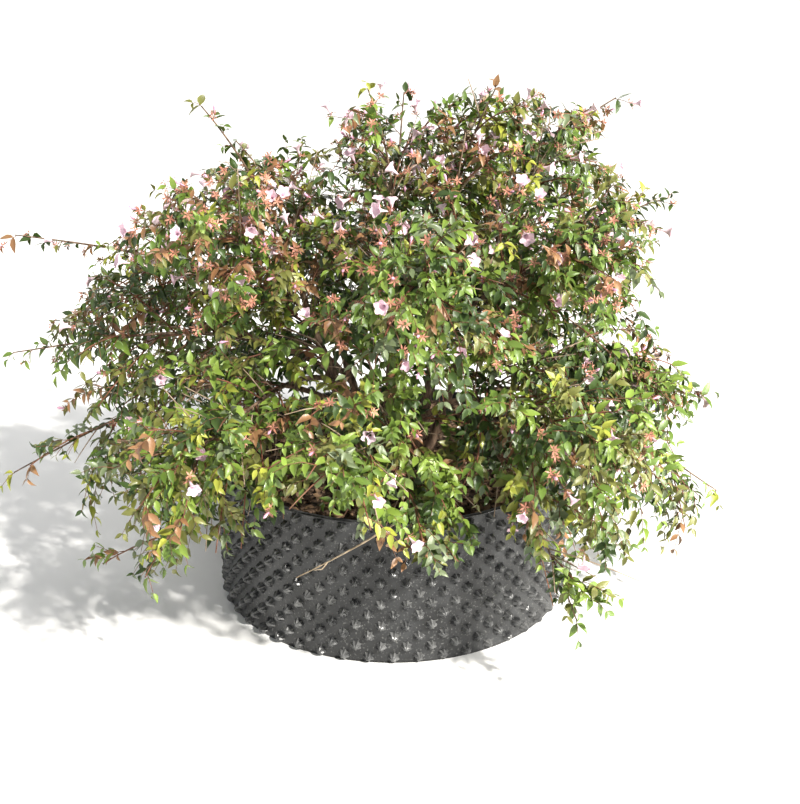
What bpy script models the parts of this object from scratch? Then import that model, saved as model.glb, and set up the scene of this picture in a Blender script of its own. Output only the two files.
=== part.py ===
"""A flowering abelia shrub in its round dimpled nursery pot, in metres, +Z up.

The origin is the centre of the pot's flat underside, and the front of the plant faces -Y.
Eight stems rise from the compost and arch outwards, and boughs fork from them.
Each stem and each bough is the woody first stretch of one arching shoot. The rest of
that shoot is the leader of a mass of foliage: side twigs placed round it by the golden
angle, with pairs of pointed leaves and a few funnel blossoms, all joined in one solid.
"""

import math

import bpy
import numpy as np

# The pot: a sheet wall with rows of staggered outward dimples, a base disc and compost.
POT_HEIGHT = 0.280
POT_RADIUS = 0.333
WALL_THICKNESS = 0.008
DIMPLE_HEIGHT = 0.013
DIMPLES_AROUND = 46
DIMPLE_ROWS = 11
EDGE_BAND = 0.012
BASE_THICKNESS = 0.010
COMPOST_EDGE = 0.258
COMPOST_TOP = 0.268
COMPOST_FLAT_RADIUS = 0.130
COMPOST_ROUGHNESS = 0.004
CLEARANCE = 0.0003

# The wood.
STEM_RING = 0.062
STEM_LEAN = 0.42
STEM_FOOT_RADIUS = 0.0095
STEM_TIP_RADIUS = 0.0042
ROOT_FLARE = 1.75
ROOT_FLARE_LENGTH = 0.05
STEM_WOOD = 0.54
BOUGH_ROOT_RADIUS = 0.0052
BOUGH_TIP_RADIUS = 0.0034
BOUGH_WOOD = 0.42
FORK_ALONG = 0.50
FORK_OUTWARD = 0.55
ARCH = 0.38
STEM_SIDES = 6
BOUGH_SIDES = 5
STEM_STEPS = 7
STEM_STEP_GROWTH = 1.25
BOUGH_STEPS = 5

# The bare old cane that stands out of the top.
CANE_FOOT = (0.018, 0.006)
CANE_TOP = (0.168, 0.010, 0.965)
CANE_FOOT_RADIUS = 0.0075
CANE_TOP_RADIUS = 0.0048
CANE_BOW = (-0.05, 0.0, 0.015)

# The foliage masses. Leaves are larger than life, as there are far fewer than on the plant.
GROWTH_SEED = 4100
LEADER_STEPS = 4
LEADER_ROOT_RADIUS = 0.0033
LEADER_TIP_RADIUS = 0.0020
LEADER_SHORT_OF_TIP = 0.091
SIDE_TWIGS = 6
SIDE_TWIG_FIRST = 0.06
SIDE_TWIG_LAST = 0.92
SIDE_TWIG_ANGLE = math.radians(56)
SIDE_TWIG_LENGTH = 0.125
SIDE_TWIG_TAPER = 0.40
SIDE_TWIG_SPREAD = (0.80, 1.15)
SIDE_TWIG_SAG = (0.09, 0.29)
SIDE_TWIG_TRIES = (1.0, 0.7, 0.45, 0.25)
SIDE_TWIG_RADIUS = 0.0023
SIDE_TWIG_TIP_RADIUS = 0.0015
GOLDEN_ANGLE = math.radians(137.508)
LEAF_LENGTH = 0.096
LEAF_WIDTH = 0.052
LEAF_THICKNESS = 0.0040
LEAF_WIDEST = 0.42
LEAF_SIZES = (1.35, 0.95)
LEAF_SPREAD = math.radians(52)
LEAF_PAIR_BACK = 0.030
LEAF_PAIR_BACK_MOST = 0.4
LEAF_ROOT_SUNK = 0.003
LEAF_DROOP = 0.35
LEAF_FACE_RISE = 0.5
LEAF_FACE_TILT = 0.35
CROWN_HEART = (0.0, 0.0, 0.42)
BLOSSOM_LENGTH = 0.046
BLOSSOM_RADIUS = 0.020
BLOSSOM_THROAT_RADIUS = 0.009
BLOSSOM_THROAT_AT = 0.62
BLOSSOM_MOUTH_AT = 0.74
BLOSSOM_LOBES = 5

# Room that masses keep from each other, from the wood, from the pot and from the ground.
CELL_MARGIN = 0.003
WOOD_MARGIN = 0.008
POT_MARGIN = 0.012
GROUND_MARGIN = 0.035
LEAF_APART = 0.010
LEAF_NEAR_ROOT = 0.40
BLADE_STATIONS = np.linspace(0.12, 1.0, 9)
BLADE_WIDTHS = np.linspace(-1.0, 1.0, 5)
TWIG_STATIONS = np.linspace(0.2, 1.0, 8)

# Linear colours of the finishes, each with its roughness.
FINISHES = {
    "pot_plastic": ((0.020, 0.021, 0.022), 0.45),
    "compost": ((0.062, 0.038, 0.022), 0.95),
    "bark": ((0.085, 0.055, 0.036), 0.80),
    "dry_cane": ((0.360, 0.270, 0.170), 0.85),
    "foliage_green": ((0.085, 0.150, 0.030), 0.45),
    "foliage_olive": ((0.105, 0.130, 0.035), 0.45),
    "foliage_gold": ((0.230, 0.260, 0.030), 0.45),
    "foliage_bronze": ((0.180, 0.085, 0.045), 0.45),
}

# One row for each shoot: its level, where it forks from its stem's wood (0 to 1, None on the
# stem itself), the compass of its tip round the pot in degrees (0 at +X, 270 at the front), the
# tip's distance from the pot's axis, its height over the ground, the slope of the last stretch
# in degrees, the number of blossoms and the tint of its leaves.
STEMS = {
    "right": (350, (
        ("top", None, 0, 0.410, 0.965, 28, 1, "green"),
        ("upper", 0.66, 9, 0.540, 0.760, 10, 3, "bronze"),
        ("middle", 0.42, 340, 0.595, 0.460, -5, 2, "green"),
        ("low", 0.24, 351, 0.635, 0.225, -32, 0, "green"),
    )),
    "front_right": (305, (
        ("top", None, 337, 0.200, 1.000, 62, 2, "bronze"),
        ("upper", 0.70, 318, 0.420, 0.750, 22, 1, "green"),
        ("middle", 0.45, 305, 0.560, 0.480, 0, 1, "olive"),
        ("low", 0.27, 302, 0.585, 0.165, -52, 1, "olive"),
    )),
    "front": (262, (
        ("top", None, 240, 0.095, 1.000, 66, 2, "olive"),
        ("upper", 0.68, 277, 0.390, 0.735, 18, 1, "green"),
        ("middle", 0.44, 261, 0.530, 0.470, -4, 1, "gold"),
        ("low", 0.25, 275, 0.450, 0.270, -30, 0, "green"),
    )),
    "front_left": (222, (
        ("upper", None, 221, 0.420, 0.810, 30, 3, "bronze"),
        ("middle", 0.52, 233, 0.580, 0.460, 0, 0, "gold"),
        ("low", 0.30, 223, 0.590, 0.205, -46, 1, "olive"),
    )),
    "left": (182, (
        ("top", None, 180, 0.350, 0.955, 50, 1, "olive"),
        ("upper", 0.66, 177, 0.720, 0.700, 6, 1, "bronze"),
        ("middle", 0.44, 197, 0.710, 0.550, -2, 1, "green"),
        ("low", 0.25, 191, 0.730, 0.285, -26, 1, "olive"),
    )),
    "back_left": (136, (
        ("upper", None, 133, 0.480, 0.820, 26, 1, "green"),
        ("middle", 0.52, 157, 0.680, 0.500, -6, 1, "olive"),
        ("low", 0.30, 128, 0.660, 0.240, -36, 0, "green"),
    )),
    "back": (92, (
        ("top", None, 84, 0.220, 0.945, 58, 1, "green"),
        ("middle", 0.50, 100, 0.640, 0.540, 0, 1, "bronze"),
    )),
    "back_right": (46, (
        ("upper", None, 48, 0.480, 0.820, 26, 1, "olive"),
        ("middle", 0.52, 66, 0.640, 0.480, -6, 1, "green"),
        ("low", 0.30, 34, 0.640, 0.250, -32, 0, "green"),
    )),
}

UP = np.array([0.0, 0.0, 1.0])


def unit(vector):
    return vector / np.linalg.norm(vector)


def compass(degrees):
    """The level direction at this angle round the pot."""
    angle = math.radians(degrees)
    return np.array([math.cos(angle), math.sin(angle), 0.0])


def bezier(points, shares):
    """Points of a cubic curve with these four control points, at shares from 0 to 1."""
    t = np.asarray(shares, float)[:, None]
    a, b, c, d = points
    return (1 - t) ** 3 * a + 3 * (1 - t) ** 2 * t * b + 3 * (1 - t) * t**2 * c + t**3 * d


def bezier_slope(points, share):
    """Unit direction of the same curve at one share."""
    a, b, c, d = points
    rest = 1 - share
    return unit(rest**2 * (b - a) + 2 * rest * share * (c - b) + share**2 * (d - c))


def arching(start, heading, tip, slope):
    """Control points of a shoot that leaves start along heading and ends at tip, on this slope."""
    across = tip - start
    level = unit(across * (1, 1, 0))
    last = level * math.cos(math.radians(slope)) + UP * math.sin(math.radians(slope))
    pull = ARCH * np.linalg.norm(across)
    return start, start + heading * pull, tip - last * pull, tip


def grow_shoots():
    """Every shoot as a dictionary: its curve, the share of it that is wood, its radii and so on."""
    shoots = {}
    for place, (angle, rows) in STEMS.items():
        for level, fork, tip_angle, reach, height, slope, blossoms, tint in rows:
            tip = compass(tip_angle) * reach + UP * height
            if fork is None:
                start = compass(angle) * STEM_RING + UP * (COMPOST_TOP + CLEARANCE)
                heading = unit(compass(angle) * STEM_LEAN + UP)
                wood, radii = STEM_WOOD, (STEM_FOOT_RADIUS, STEM_TIP_RADIUS)
                stem = None
            else:
                stem = shoots[place + "_" + rows[0][0]]
                share = fork * stem["wood"]
                start = bezier(stem["curve"], [share])[0]
                outward = unit((tip - start) * (1, 1, 0))
                heading = unit(FORK_ALONG * bezier_slope(stem["curve"], share) + FORK_OUTWARD * outward)
                wood, radii = BOUGH_WOOD, (BOUGH_ROOT_RADIUS, BOUGH_TIP_RADIUS)
            curve = arching(start, heading, tip, slope)
            shoots[place + "_" + level] = {
                "place": place,
                "stem": stem,
                "curve": curve,
                "wood": wood,
                "joint": bezier_slope(curve, wood),
                "radii": radii,
                "blossoms": blossoms,
                "tint": tint,
            }
    return shoots


def rings_along(path, radii, sides, first=None, last=None):
    """Corner points of a tube: one ring of corners across the path at each of its points.

    The end rings face along first and last where those are given, so that two tubes meet squarely.
    """
    headings = np.gradient(path, axis=0)
    headings /= np.linalg.norm(headings, axis=1)[:, None]
    if first is not None:
        headings[0] = first
    if last is not None:
        headings[-1] = last
    side = unit(np.cross(headings[0], UP if abs(headings[0][2]) < 0.95 else (1.0, 0.0, 0.0)))
    turns = np.linspace(0, 2 * math.pi, sides, endpoint=False)
    rings = []
    for point, heading, radius in zip(path, headings, radii):
        side = unit(side - heading * side.dot(heading))
        other = np.cross(heading, side)
        rings.append(point + radius * (np.outer(np.cos(turns), side) + np.outer(np.sin(turns), other)))
    return np.concatenate(rings)


def tube_faces(count, sides):
    """Side quads and the two end caps of a tube with this many rings."""
    faces = []
    for ring in range(count - 1):
        for corner in range(sides):
            after = (corner + 1) % sides
            low, high = ring * sides, (ring + 1) * sides
            faces.append((low + corner, low + after, high + after, high + corner))
    faces.append(tuple(range(sides))[::-1])
    faces.append(tuple((count - 1) * sides + corner for corner in range(sides)))
    return faces


def new_object(name, points, faces, finish=None, collection=None):
    mesh = bpy.data.meshes.new(name)
    mesh.from_pydata([tuple(map(float, point)) for point in points], [], faces)
    if finish:
        mesh.materials.append(bpy.data.materials[finish])
    built = bpy.data.objects.new(name, mesh)
    (collection or bpy.context.scene.collection).objects.link(built)
    return built


def tube_object(name, path, radii, sides, finish=None, collection=None, first=None, last=None):
    rings = rings_along(path, radii, sides, first, last)
    return new_object(name, rings, tube_faces(len(path), sides), finish, collection)


def make_finishes():
    for name, (colour, roughness) in FINISHES.items():
        finish = bpy.data.materials.new(name)
        finish.use_nodes = True
        shader = finish.node_tree.nodes["Principled BSDF"]
        shader.inputs["Base Color"].default_value = (*colour, 1.0)
        shader.inputs["Roughness"].default_value = roughness
        shader.inputs["Metallic"].default_value = 0.0


def make_pot_wall():
    """The wall: a lattice whose alternate points stand out, so each is the tip of a dimple."""
    columns = 2 * DIMPLES_AROUND
    heights = [0.0, *np.linspace(EDGE_BAND, POT_HEIGHT - EDGE_BAND, DIMPLE_ROWS), POT_HEIGHT]
    levels = len(heights)
    inner = POT_RADIUS - WALL_THICKNESS
    points, faces = [], []
    for level, height in enumerate(heights):
        for column in range(columns):
            raised = 0 < level < levels - 1 and (column + level) % 2 == 0
            reach = POT_RADIUS + (DIMPLE_HEIGHT if raised else 0.0)
            angle = 2 * math.pi * column / columns
            points.append((reach * math.cos(angle), reach * math.sin(angle), height))
    for height in (0.0, POT_HEIGHT):
        for column in range(DIMPLES_AROUND):
            angle = 2 * math.pi * column / DIMPLES_AROUND
            points.append((inner * math.cos(angle), inner * math.sin(angle), height))
    foot, rim = 0, (levels - 1) * columns
    inside_foot = levels * columns
    inside_rim = inside_foot + DIMPLES_AROUND
    for column in range(columns):
        after = (column + 1) % columns
        for level in range(levels - 1):
            a, b = level * columns + column, level * columns + after
            c, d = b + columns, a + columns
            # The fold runs between the two low corners, so every dimple is a clean pyramid.
            if (column + level) % 2 == 0:
                faces += [(a, b, d), (b, c, d)]
            else:
                faces += [(a, b, c), (a, c, d)]
    # The sheet's smooth inside has half the columns, so each rim face spans two outside edges.
    for column in range(DIMPLES_AROUND):
        after = (column + 1) % DIMPLES_AROUND
        outside = [2 * column, 2 * column + 1, 2 * after]
        faces.append((*(rim + corner for corner in outside), inside_rim + after, inside_rim + column))
        faces.append((inside_rim + column, inside_rim + after, inside_foot + after, inside_foot + column))
        faces.append((inside_foot + column, inside_foot + after, *(foot + corner for corner in outside[::-1])))
    new_object("pot_wall", points, faces, "pot_plastic")


def disc_rings(reaches, heights, sides):
    """Rings of corners round the Z axis, for a solid of revolution."""
    angles = np.linspace(0, 2 * math.pi, sides, endpoint=False)
    return np.concatenate([
        np.stack([reach * np.cos(angles), reach * np.sin(angles), np.full(sides, height)], axis=1)
        for reach, height in zip(reaches, heights)
    ])


def make_pot_base():
    sides = DIMPLES_AROUND
    reach = POT_RADIUS - WALL_THICKNESS - CLEARANCE
    points = disc_rings((reach, reach), (0.0, BASE_THICKNESS), sides)
    new_object("pot_base", points, tube_faces(2, sides), "pot_plastic")


def make_compost():
    """The filled inside of the pot: mounded a little, rough, and level where the stems stand."""
    sides = DIMPLES_AROUND
    rng = np.random.default_rng(GROWTH_SEED)
    edge = POT_RADIUS - WALL_THICKNESS - CLEARANCE
    foot = BASE_THICKNESS + CLEARANCE
    slope = np.array([0.0, 0.5, 1.0])
    reaches = edge + (COMPOST_FLAT_RADIUS - edge) * slope
    heights = COMPOST_EDGE + (COMPOST_TOP - COMPOST_EDGE) * slope
    points = disc_rings((edge, *reaches), (foot, *heights), sides)
    rough = slice(sides, 3 * sides)
    points[rough, 2] += rng.uniform(-COMPOST_ROUGHNESS, COMPOST_ROUGHNESS, 2 * sides)
    new_object("compost", points, tube_faces(4, sides), "compost")


def make_stem(name, shoot):
    """A stem: flat cut on the compost, root flare, taper and lean, up to where its mass begins."""
    shares = shoot["wood"] * np.linspace(0, 1, STEM_STEPS + 1) ** STEM_STEP_GROWTH
    path = bezier(shoot["curve"], shares)
    foot, tip = shoot["radii"]
    radii = foot + (tip - foot) * shares / shoot["wood"]
    rise = path[:, 2] - path[0, 2]
    radii = radii * (1 + (ROOT_FLARE - 1) * np.clip(1 - rise / ROOT_FLARE_LENGTH, 0, 1) ** 2)
    rings = rings_along(path, radii, STEM_SIDES, last=shoot["joint"])
    rings[:STEM_SIDES, 2] = path[0, 2]
    stem = new_object(name, rings, tube_faces(len(path), STEM_SIDES), "bark")
    stem.data.shade_smooth()
    # A slightly fatter copy shapes the saddle at the root of each of its boughs.
    fatter = tube_object(name + "_clearance", path, radii + 2 * CLEARANCE, STEM_SIDES)
    fatter.hide_render = True
    fatter.display_type = "WIRE"
    return fatter


def make_bough(name, shoot, saddle):
    """A bough: one tapering limb from its stem's side to where its mass begins."""
    shares = np.linspace(0, shoot["wood"], BOUGH_STEPS + 1)
    path = bezier(shoot["curve"], shares)
    root, tip = shoot["radii"]
    radii = root + (tip - root) * shares / shoot["wood"]
    bough = tube_object(name, path, radii, BOUGH_SIDES, "bark", last=shoot["joint"])
    bough.data.shade_smooth()
    cut = bough.modifiers.new("saddle", "BOOLEAN")
    cut.operation = "DIFFERENCE"
    cut.object = saddle


def cane_path(steps):
    shares = np.linspace(0, 1, steps)[:, None]
    foot = np.array([*CANE_FOOT, COMPOST_TOP + CLEARANCE])
    bow = np.sin(math.pi * shares) * np.array(CANE_BOW)
    return foot + (np.array(CANE_TOP) - foot) * shares + bow


def make_cane():
    path = cane_path(STEM_STEPS)
    radii = np.linspace(CANE_FOOT_RADIUS, CANE_TOP_RADIUS, STEM_STEPS)
    rings = rings_along(path, radii, BOUGH_SIDES)
    rings[:BOUGH_SIDES, 2] = path[0, 2]
    cane = new_object("bare_cane", rings, tube_faces(STEM_STEPS, BOUGH_SIDES), "dry_cane")
    cane.data.shade_smooth()


def leader_path(shoot, steps):
    """The shoot past its wood, from the clearance beyond the limb to about a leaf short of the tip."""
    length = np.linalg.norm(shoot["curve"][3] - shoot["curve"][0])
    shares = np.linspace(shoot["wood"], 1 - LEADER_SHORT_OF_TIP / length, steps + 1)
    path = bezier(shoot["curve"], shares)
    path[0] += shoot["joint"] * CLEARANCE
    return path


def distance_to_path(points, path):
    """Distance of each point to the nearest place on a path of straight stretches."""
    starts, along = path[:-1], np.diff(path, axis=0)
    offset = points[:, None] - starts
    share = np.clip((offset * along).sum(2) / (along**2).sum(1), 0, 1)
    return np.linalg.norm(offset - share[..., None] * along, axis=2).min(1)


class Room:
    """The space of one mass: nearer to its own leader than to any other, and clear of the wood."""

    def __init__(self, name, leaders, limbs):
        self.own = leaders[name]
        self.others = [path for other, path in leaders.items() if other != name]
        self.limbs = limbs

    def holds(self, points):
        """Whether all these points are in the mass's own space."""
        if points[:, 2].min() < GROUND_MARGIN:
            return False
        outside = np.hypot(points[:, 0], points[:, 1]) > POT_RADIUS + DIMPLE_HEIGHT + POT_MARGIN
        if not (outside | (points[:, 2] > POT_HEIGHT + POT_MARGIN)).all():
            return False
        own = distance_to_path(points, self.own)
        if any((distance_to_path(points, path) < own + 2 * CELL_MARGIN).any() for path in self.others):
            return False
        return all((distance_to_path(points, path) > radius + WOOD_MARGIN).all() for path, radius in self.limbs)


def leaf_shape(root, heading, face, size=1.0):
    """A flat eight-faced leaf: its six corners, points over its blade, and those clear of its root."""
    side = unit(np.cross(heading, face))
    normal = np.cross(side, heading)
    length, half, thick = size * LEAF_LENGTH, size * LEAF_WIDTH / 2, LEAF_THICKNESS / 2
    middle = root + heading * length * LEAF_WIDEST
    corners = np.array([
        root,
        root + heading * length,
        middle + side * half,
        middle - side * half,
        middle + normal * thick,
        middle - normal * thick,
    ])
    along, across = np.meshgrid(BLADE_STATIONS, BLADE_WIDTHS, indexing="ij")
    narrowing = np.where(along < LEAF_WIDEST, along / LEAF_WIDEST, (1 - along) / (1 - LEAF_WIDEST))
    across = across * narrowing
    blade = root + along[..., None] * heading * length + across[..., None] * side * half
    outer = blade[BLADE_STATIONS > LEAF_NEAR_ROOT]
    return corners, blade.reshape(-1, 3), outer.reshape(-1, 3)


LEAF_FACES = [(0, 2, 4), (0, 4, 3), (0, 3, 5), (0, 5, 2), (1, 4, 2), (1, 3, 4), (1, 5, 3), (1, 2, 5)]


def blossom_shape(root, heading):
    """A funnel: a slim throat that opens into five lobes round a hollow mouth."""
    side = unit(np.cross(heading, np.roll(UP, 1) if abs(heading[2]) > 0.9 else UP))
    other = np.cross(heading, side)
    turns = np.linspace(0, 2 * math.pi, BLOSSOM_LOBES, endpoint=False)
    round_about = np.outer(np.cos(turns), side) + np.outer(np.sin(turns), other)
    throat = root + heading * BLOSSOM_LENGTH * BLOSSOM_THROAT_AT + round_about * BLOSSOM_THROAT_RADIUS
    lobes = root + heading * BLOSSOM_LENGTH + round_about * BLOSSOM_RADIUS
    mouth = root + heading * BLOSSOM_LENGTH * BLOSSOM_MOUTH_AT
    return np.concatenate([[root], throat, lobes, [mouth]])


def blossom_faces():
    faces = []
    last = 1 + 2 * BLOSSOM_LOBES
    for lobe in range(BLOSSOM_LOBES):
        after = (lobe + 1) % BLOSSOM_LOBES
        throat, next_throat = 1 + lobe, 1 + after
        edge, next_edge = throat + BLOSSOM_LOBES, next_throat + BLOSSOM_LOBES
        faces += [
            (0, next_throat, throat),
            (throat, next_throat, next_edge, edge),
            (edge, next_edge, last),
        ]
    return faces


def side_twig(leader, share, turn, reach, sag):
    """A short straight twig, root and tip: it leaves the leader at an angle, turned about it."""
    steps = len(leader) - 1
    first = min(int(share * steps), steps - 1)
    stretch = leader[first + 1] - leader[first]
    root = leader[first] + stretch * (share * steps - first)
    along = unit(stretch)
    side = unit(np.cross(along, UP))
    other = np.cross(side, along)
    away = side * math.cos(turn) + other * math.sin(turn)
    heading = along * math.cos(SIDE_TWIG_ANGLE) + away * math.sin(SIDE_TWIG_ANGLE) - UP * sag
    return np.array([root, root + unit(heading) * reach])


def twig_leaves(path, tilt):
    """Root, heading and face of the leaves on a twig: one opposite pair and one at the tip.

    The faces look up and away from the heart of the crown, as leaves on an arching twig do.
    """
    leaves = []
    last = unit(path[-1] - path[-2])
    face = unit(unit(path[-1] - CROWN_HEART) + LEAF_FACE_RISE * UP + tilt)
    across = unit(np.cross(face, last))
    back = min(LEAF_PAIR_BACK, LEAF_PAIR_BACK_MOST * np.linalg.norm(path[-1] - path[-2]))
    for way in (1, -1):
        heading = unit(last * math.cos(LEAF_SPREAD) + across * way * math.sin(LEAF_SPREAD) - UP * LEAF_DROOP)
        leaves.append((path[-1] - last * back, heading, face))
    leaves.append((path[-1] - last * LEAF_ROOT_SUNK, unit(last - UP * LEAF_DROOP), face))
    return leaves


def twig_that_fits(leader, index, phase, room, rng):
    """One side twig and its leaves, shortened until it and its end leaf have room, or None."""
    share = SIDE_TWIG_FIRST + (SIDE_TWIG_LAST - SIDE_TWIG_FIRST) * index / (SIDE_TWIGS - 1)
    turn = phase + GOLDEN_ANGLE * index
    reach = SIDE_TWIG_LENGTH * (1 - SIDE_TWIG_TAPER * share) * rng.uniform(*SIDE_TWIG_SPREAD)
    sag = rng.uniform(*SIDE_TWIG_SAG)
    tilt = rng.normal(0, LEAF_FACE_TILT, 3)
    for shorter in SIDE_TWIG_TRIES:
        path = side_twig(leader, share, turn, reach * shorter, sag)
        leaves = twig_leaves(path, tilt)
        along = path[0] + TWIG_STATIONS[:, None] * (path[1] - path[0])
        if room.holds(along) and room.holds(leaf_shape(*leaves[-1], LEAF_SIZES[-1])[1]):
            return path, leaves
    return None


def crowded(points, others):
    """Whether any of these points lies closer to one of the others than leaves may come."""
    if not len(others):
        return False
    return np.linalg.norm(points[:, None] - others, axis=2).min() < LEAF_APART


def grow_mass(name, shoot, room, rng):
    """Builds the mass: the leader, then side twigs, leaves and blossoms that have room, all joined."""
    pieces = bpy.data.collections.new(name + "_pieces")
    bpy.context.scene.collection.children.link(pieces)
    finish = "foliage_" + shoot["tint"]
    leader = room.own
    radii = np.linspace(LEADER_ROOT_RADIUS, LEADER_TIP_RADIUS, len(leader))
    mass = tube_object("foliage_" + name, leader, radii, 3, finish, first=shoot["joint"])
    phase = rng.uniform(0, 2 * math.pi)
    leaves = twig_leaves(leader, rng.normal(0, LEAF_FACE_TILT, 3))
    ends = 0
    for index in range(SIDE_TWIGS):
        grown = twig_that_fits(leader, index, phase, room, rng)
        if grown is None:
            continue
        path, found = grown
        tube_object(name + "_twig", path, (SIDE_TWIG_RADIUS, SIDE_TWIG_TIP_RADIUS), 3, finish, pieces)
        ends += 1
        # Every other twig ends in a blossom instead of a leaf until the mass has its number.
        if ends % 2 and ends // 2 < shoot["blossoms"]:
            root, heading, _ = found.pop()
            new_object(name + "_blossom", blossom_shape(root, heading), blossom_faces(), finish, pieces)
        leaves += found
    blades = np.empty((0, 3))
    for leaf in leaves:
        for size in LEAF_SIZES:
            corners, blade, outer = leaf_shape(*leaf, size)
            if room.holds(blade) and not crowded(outer, blades):
                blades = np.concatenate([blades, outer])
                new_object(name + "_leaf", corners, LEAF_FACES, finish, pieces)
                break
    join_pieces(mass, pieces)


def join_pieces(mass, pieces):
    """One Boolean union of the leader with all that grows on it, applied, and the pieces removed."""
    join = mass.modifiers.new("join", "BOOLEAN")
    join.operation = "UNION"
    join.operand_type = "COLLECTION"
    join.collection = pieces
    join.solver = "EXACT"
    joined = bpy.data.meshes.new_from_object(mass.evaluated_get(bpy.context.evaluated_depsgraph_get()))
    mass.modifiers.clear()
    mass.data = joined
    for piece in list(pieces.objects):
        bpy.data.objects.remove(piece)
    bpy.data.collections.remove(pieces)


def main():
    for leftover in list(bpy.data.objects):
        bpy.data.objects.remove(leftover)
    make_finishes()
    make_pot_wall()
    make_pot_base()
    make_compost()
    make_cane()
    shoots = grow_shoots()
    saddles, limbs = {}, [(cane_path(STEM_STEPS), CANE_FOOT_RADIUS)]
    for name, shoot in shoots.items():
        if shoot["stem"] is None:
            saddles[shoot["place"]] = make_stem("stem_" + shoot["place"], shoot)
        else:
            make_bough("bough_" + name, shoot, saddles[shoot["place"]])
        limbs.append((bezier(shoot["curve"], np.linspace(0, shoot["wood"], STEM_STEPS)), shoot["radii"][0]))
    leaders = {name: leader_path(shoot, LEADER_STEPS) for name, shoot in shoots.items()}
    for index, (name, shoot) in enumerate(shoots.items()):
        rng = np.random.default_rng(GROWTH_SEED + 1 + index)
        grow_mass(name, shoot, Room(name, leaders, limbs), rng)


main()
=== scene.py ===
import math

import bpy
import numpy as np
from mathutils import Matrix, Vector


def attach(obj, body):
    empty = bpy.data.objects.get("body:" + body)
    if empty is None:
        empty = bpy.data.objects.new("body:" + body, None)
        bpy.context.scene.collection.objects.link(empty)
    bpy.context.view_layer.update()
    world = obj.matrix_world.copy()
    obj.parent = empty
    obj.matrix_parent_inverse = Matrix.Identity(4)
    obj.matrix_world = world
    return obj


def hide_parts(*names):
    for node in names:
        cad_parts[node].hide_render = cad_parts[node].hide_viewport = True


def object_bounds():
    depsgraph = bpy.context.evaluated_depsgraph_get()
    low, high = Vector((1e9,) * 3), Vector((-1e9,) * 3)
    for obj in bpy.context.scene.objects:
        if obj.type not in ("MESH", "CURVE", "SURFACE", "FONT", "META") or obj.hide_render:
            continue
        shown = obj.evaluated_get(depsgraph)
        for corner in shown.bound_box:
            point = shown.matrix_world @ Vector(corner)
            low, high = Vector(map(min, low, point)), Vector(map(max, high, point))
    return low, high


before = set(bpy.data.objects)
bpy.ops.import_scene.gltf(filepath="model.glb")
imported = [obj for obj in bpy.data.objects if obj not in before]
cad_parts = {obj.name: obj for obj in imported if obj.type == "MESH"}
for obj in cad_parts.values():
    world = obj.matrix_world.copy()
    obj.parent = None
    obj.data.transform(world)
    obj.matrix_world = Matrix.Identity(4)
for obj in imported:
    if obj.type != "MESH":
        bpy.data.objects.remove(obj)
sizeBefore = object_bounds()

up = np.array([0.0, 0.0, 1.0])
xAxis = np.array([1.0, 0.0, 0.0])
level = np.array([1.0, 1.0, 0.0])        # times a vector, its part along the ground
fullTurn = 2 * math.pi
steepRise = 0.95                          # a heading that rises more than this is taken as upright


# Small tools on arrays of points

def unit(vectors):
    return vectors / np.linalg.norm(vectors, axis=-1, keepdims=True)


def compass(degrees):
    # a level direction: 0 is to the right and 90 to the back
    return np.array([math.cos(math.radians(degrees)), math.sin(math.radians(degrees)), 0.0])


def bezier(points, shares):
    # cubic curve: the four control points weighted by (1-t)^3, 3(1-t)^2 t, 3(1-t) t^2 and t^3
    t = np.asarray(shares, float)[:, None]
    a, b, c, d = points
    return (1 - t) ** 3 * a + 3 * (1 - t) ** 2 * t * b + 3 * (1 - t) * t**2 * c + t**3 * d


def bezierSlope(points, shares):
    # its heading: (1-t)^2 (b-a) + 2 (1-t) t (c-b) + t^2 (d-c), made a unit
    t = np.asarray(shares, float)[:, None]
    a, b, c, d = points
    return unit((1 - t) ** 2 * (b - a) + 2 * (1 - t) * t * (c - b) + t**2 * (d - c))


def alongPath(paths, shares):
    # places at these shares of a path of straight stretches, a + (b - a) rest, and the headings there
    stretches = paths.shape[-2] - 1
    first = np.minimum((shares * stretches).astype(int), stretches - 1)
    rest = (shares * stretches - first)[:, None]
    starts, ends = paths[..., first, :], paths[..., first + 1, :]
    return starts + (ends - starts) * rest, unit(ends - starts)


def offAxis(headings):
    # something to cross a heading with: up, or the x axis where the heading is upright itself
    return np.where(np.abs(headings[..., 2:]) < steepRise, up, xAxis)


def turnAbout(axis, amount):
    # a direction square to the axis, turned by this amount about it
    side = unit(np.cross(axis, offAxis(axis)))
    other = np.cross(side, axis)
    return side * np.cos(amount)[..., None] + other * np.sin(amount)[..., None]


def arc(start, heading, reach, sag, steps):
    # a drooping twig: start + heading reach t - up sag reach t^2
    t = np.linspace(0, 1, steps)[None, :, None]
    reach = reach[:, None, None]
    return start[:, None] + heading[:, None] * reach * t - up * sag[:, None, None] * reach * t**2


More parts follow.
